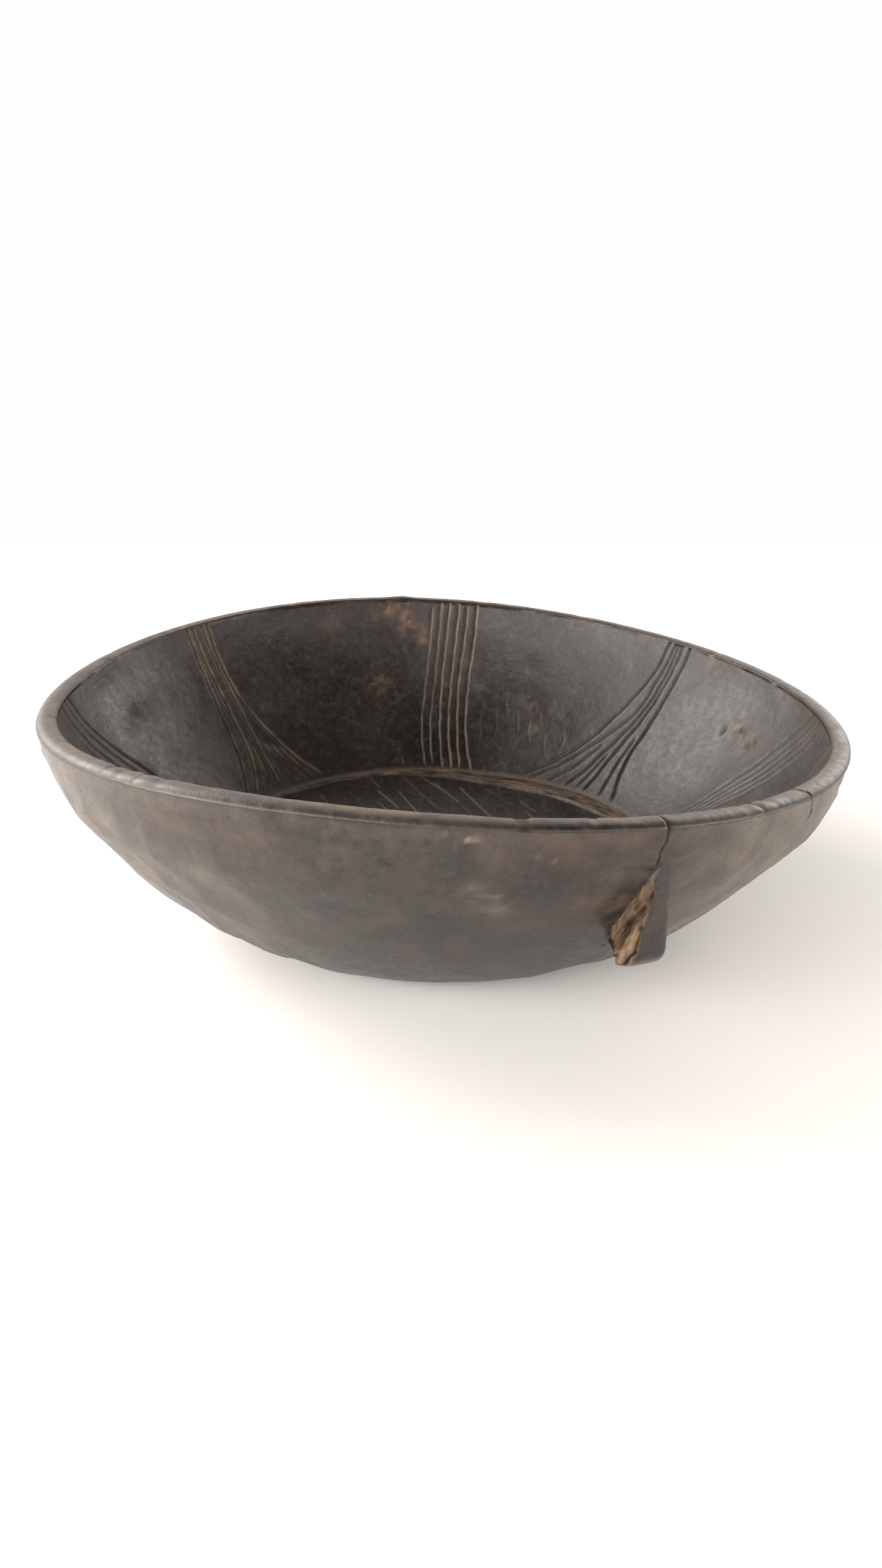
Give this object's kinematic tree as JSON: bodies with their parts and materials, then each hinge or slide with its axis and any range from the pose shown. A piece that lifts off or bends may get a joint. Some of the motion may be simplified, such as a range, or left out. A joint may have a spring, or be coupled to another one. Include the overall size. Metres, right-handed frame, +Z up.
{
  "type": "carved wooden bowl",
  "caption": "Shallow round wooden food bowl carved from one block, with a flat foot, a collared rim, incised lines inside and one carved suspension lug.",
  "frame": {"origin": "centre of the flat foot, on the surface that the bowl stands on", "axes": "+Z up through the open mouth, +Y to the back, +X to the right, with the lug at the right of the front"},
  "size_m": [0.3376, 0.3418, 0.101],
  "materials": {
    "patinated_wood": "dark hand-polished patina, satin, with raw brown wood at the broken lug"
  },
  "bodies": {
    "root": {"bowl": "patinated_wood"}
  },
  "joints": []
}
